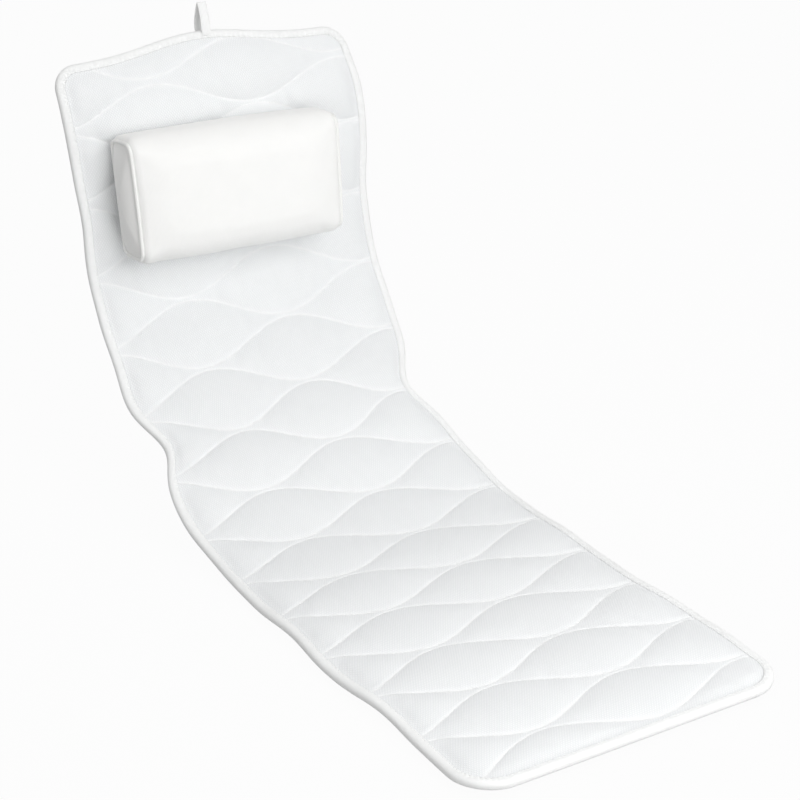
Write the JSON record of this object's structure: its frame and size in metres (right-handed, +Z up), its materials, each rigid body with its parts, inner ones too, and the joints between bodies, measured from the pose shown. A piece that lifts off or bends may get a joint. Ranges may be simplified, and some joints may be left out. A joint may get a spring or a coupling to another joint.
{
  "type": "bath pillow",
  "caption": "Full-length quilted bath mat that runs up a tub's sloping end, with a bolster head pillow on hook and loop strips, bound edges, a hanging loop and suction cups underneath.",
  "frame": {"origin": "on the tub floor, midway between the seat's suction cups", "axes": "+X across the mat, to the right as seen from its foot end, +Y from the foot towards the head, +Z up"},
  "size_m": [0.4, 0.9272, 0.5848],
  "materials": {
    "air_mesh": "white knitted air mesh, quilted",
    "binding_tape": "white knitted tape, overlocked",
    "wadding": "white polyester wadding",
    "pillow_knit": "warm white fine knit",
    "foam": "cream open-cell foam",
    "hook_and_loop": "white nylon pile and hooks",
    "clear_vinyl": "clear soft vinyl, glossy",
    "eyelet_plastic": "white moulded plastic"
  },
  "bodies": {
    "seat": {"seat_quilted_face": "air_mesh", "seat_wadding": "wadding", "seat_base_mesh": "air_mesh", "seat_binding": "binding_tape", "seat_suction_cup_1": "clear_vinyl", "seat_suction_cup_2": "clear_vinyl", "seat_suction_cup_3": "clear_vinyl", "seat_suction_cup_4": "clear_vinyl", "seat_eyelet_1": "eyelet_plastic", "seat_eyelet_2": "eyelet_plastic", "seat_eyelet_3": "eyelet_plastic", "seat_eyelet_4": "eyelet_plastic"},
    "back": {"back_quilted_face": "air_mesh", "back_wadding": "wadding", "back_base_mesh": "air_mesh", "back_binding": "binding_tape", "back_suction_cup_1": "clear_vinyl", "back_suction_cup_2": "clear_vinyl", "back_suction_cup_3": "clear_vinyl", "back_suction_cup_4": "clear_vinyl", "back_suction_cup_5": "clear_vinyl", "back_suction_cup_6": "clear_vinyl", "back_eyelet_1": "eyelet_plastic", "back_eyelet_2": "eyelet_plastic", "back_eyelet_3": "eyelet_plastic", "back_eyelet_4": "eyelet_plastic", "back_eyelet_5": "eyelet_plastic", "back_eyelet_6": "eyelet_plastic", "mat_loop_strip_lower": "hook_and_loop", "mat_loop_strip_upper": "hook_and_loop"},
    "pillow": {"pillow_cover": "pillow_knit", "pillow_foam_core": "foam", "pillow_end_panel_left": "pillow_knit", "pillow_end_panel_right": "pillow_knit", "pillow_piping_left": "pillow_knit", "pillow_piping_right": "pillow_knit", "pillow_hook_strip_lower": "hook_and_loop", "pillow_hook_strip_upper": "hook_and_loop"},
    "loop": {"hanging_loop": "binding_tape"}
  },
  "joints": [
    {"name": "back_fold", "type": "hinge", "parent": "seat", "child": "back", "pos_m": [0, 0.47961, 0.08866], "axis": [1, 0, 0], "range_deg": [-65, 75]},
    {"name": "pillow_peel", "type": "slide", "parent": "back", "child": "pillow", "axis": [0, -0.9976, 0.0698], "range_m": [0, 0.12]},
    {"name": "loop_swing", "type": "hinge", "parent": "back", "child": "loop", "pos_m": [0, 0.67847, 0.54284], "axis": [1, 0, 0], "range_deg": [-80, 5]}
  ]
}
